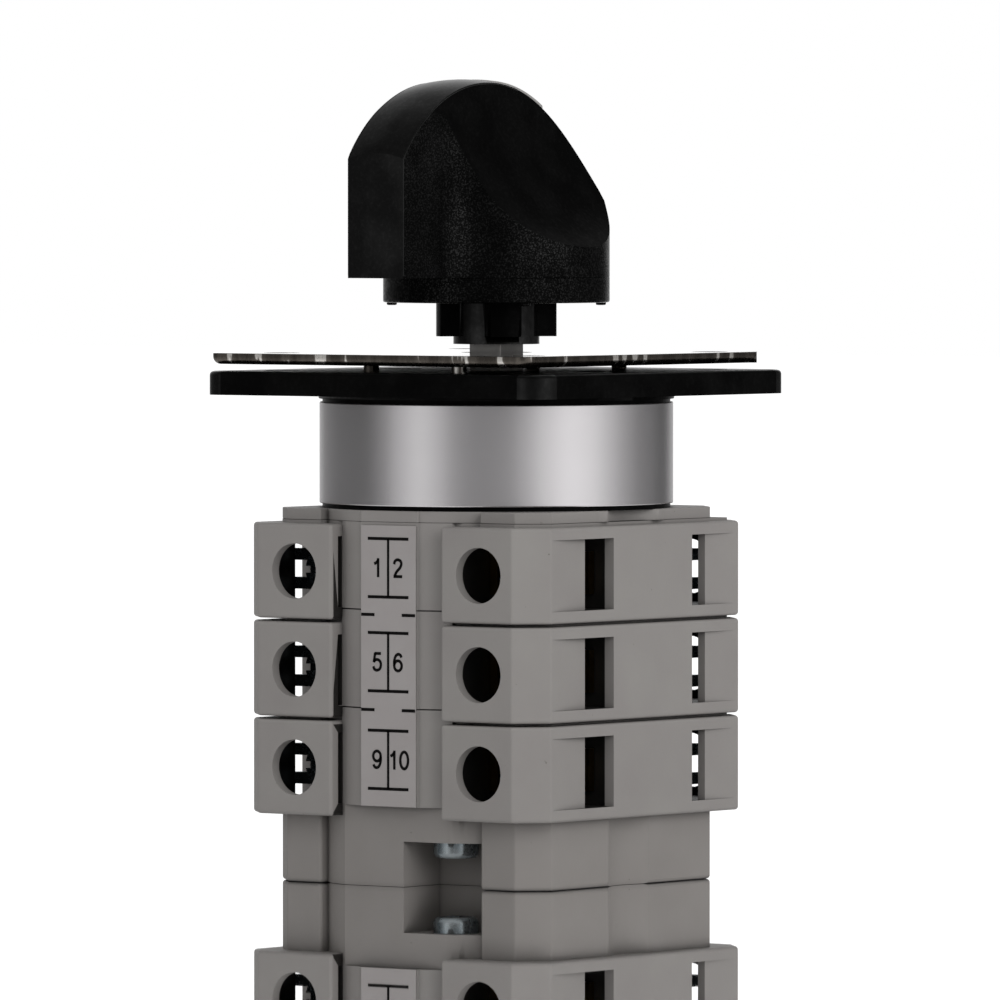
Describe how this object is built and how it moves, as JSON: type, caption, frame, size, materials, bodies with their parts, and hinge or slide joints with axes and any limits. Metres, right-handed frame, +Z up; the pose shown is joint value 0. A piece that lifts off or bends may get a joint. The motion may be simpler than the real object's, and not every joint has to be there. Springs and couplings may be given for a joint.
{
  "type": "rotary cam switch",
  "caption": "Rotary cam switch with stacked contact decks, side screw terminals, square mounting flange with legend plate, and a pointer knob turning a square shaft.",
  "frame": {"origin": "middle of the base plate's underside, on the shaft's axis", "axes": "+Z up the shaft towards the knob; -Y is the label face, where the knob points at rest; +X is to the right of someone who looks at the label face"},
  "size_m": [0.05, 0.05, 0.0942],
  "materials": {
    "case_grey": "semi-matt moulded thermoset",
    "housing_black": "matt moulded polyamide",
    "knob_black": "fine spark-eroded texture, smooth finger hollows",
    "label_grey": "smooth printed film",
    "insert_grey": "semi-matt",
    "band_foil": "brushed foil",
    "legend_metal": "satin",
    "zinc_steel": "bright zinc plate",
    "contact_brass": "satin",
    "spring_steel": "drawn wire and pressed sheet",
    "cam_plastic": "natural acetal"
  },
  "bodies": {
    "housing": {"base_plate": "case_grey", "base_screws": "zinc_steel", "deck_1_housing": "case_grey", "deck_2_housing": "case_grey", "deck_3_housing": "case_grey", "top_cover": "case_grey", "terminal_label": "label_grey", "detent_housing": "housing_black", "rating_band": "band_foil", "mounting_flange": "housing_black", "legend_plate": "legend_metal", "tie_screws": "zinc_steel", "tie_nuts": "zinc_steel", "stop_plate": "spring_steel", "fixed_contacts_1": "contact_brass", "fixed_contacts_2": "contact_brass", "fixed_contacts_3": "contact_brass", "terminal_screws_1": "zinc_steel", "terminal_screws_2": "zinc_steel", "terminal_screws_3": "zinc_steel", "clamp_plates_1": "zinc_steel", "clamp_plates_2": "zinc_steel", "clamp_plates_3": "zinc_steel", "detent_rollers": "spring_steel", "detent_springs": "spring_steel", "front_spring_1": "spring_steel", "front_spring_2": "spring_steel", "front_spring_3": "spring_steel", "back_spring_1": "spring_steel", "back_spring_2": "spring_steel", "back_spring_3": "spring_steel"},
    "handle": {"shaft": "zinc_steel", "cam_1": "cam_plastic", "cam_2": "cam_plastic", "cam_3": "cam_plastic", "detent_star": "cam_plastic", "stop_arm": "cam_plastic", "handle_hub": "knob_black", "knob": "knob_black", "knob_insert": "insert_grey", "knob_screw": "zinc_steel"},
    "front_contact_1": {"front_plunger_1": "cam_plastic", "front_bridge_1": "contact_brass"},
    "front_contact_2": {"front_plunger_2": "cam_plastic", "front_bridge_2": "contact_brass"},
    "front_contact_3": {"front_plunger_3": "cam_plastic", "front_bridge_3": "contact_brass"},
    "back_contact_1": {"back_plunger_1": "cam_plastic", "back_bridge_1": "contact_brass"},
    "back_contact_2": {"back_plunger_2": "cam_plastic", "back_bridge_2": "contact_brass"},
    "back_contact_3": {"back_plunger_3": "cam_plastic", "back_bridge_3": "contact_brass"}
  },
  "joints": [
    {"name": "handle_turn", "type": "hinge", "parent": "housing", "child": "handle", "pos_m": [0, 0, 0.0439], "axis": [0, 0, 1], "range_deg": [-60, 60]},
    {"name": "front_contact_1_slide", "type": "slide", "parent": "housing", "child": "front_contact_1", "axis": [0, 1, 0], "range_m": [-0.001, 0.001], "deforming": ["front_spring_1"]},
    {"name": "front_contact_2_slide", "type": "slide", "parent": "housing", "child": "front_contact_2", "axis": [0, 1, 0], "range_m": [-0.001, 0.001], "deforming": ["front_spring_2"]},
    {"name": "front_contact_3_slide", "type": "slide", "parent": "housing", "child": "front_contact_3", "axis": [0, 1, 0], "range_m": [-0.001, 0.001], "deforming": ["front_spring_3"]},
    {"name": "back_contact_1_slide", "type": "slide", "parent": "housing", "child": "back_contact_1", "axis": [0, 1, 0], "range_m": [-0.001, 0.001], "deforming": ["back_spring_1"]},
    {"name": "back_contact_2_slide", "type": "slide", "parent": "housing", "child": "back_contact_2", "axis": [0, 1, 0], "range_m": [-0.001, 0.001], "deforming": ["back_spring_2"]},
    {"name": "back_contact_3_slide", "type": "slide", "parent": "housing", "child": "back_contact_3", "axis": [0, 1, 0], "range_m": [-0.001, 0.001], "deforming": ["back_spring_3"]}
  ],
  "couplings": [
    {"joint": "front_contact_1_slide", "follows": "handle_turn", "m_per_rad": 0.000954},
    {"joint": "front_contact_2_slide", "follows": "handle_turn", "m_per_rad": 0.000954},
    {"joint": "front_contact_3_slide", "follows": "handle_turn", "m_per_rad": 0.000954},
    {"joint": "back_contact_1_slide", "follows": "handle_turn", "m_per_rad": 0.000954},
    {"joint": "back_contact_2_slide", "follows": "handle_turn", "m_per_rad": 0.000954},
    {"joint": "back_contact_3_slide", "follows": "handle_turn", "m_per_rad": 0.000954}
  ]
}
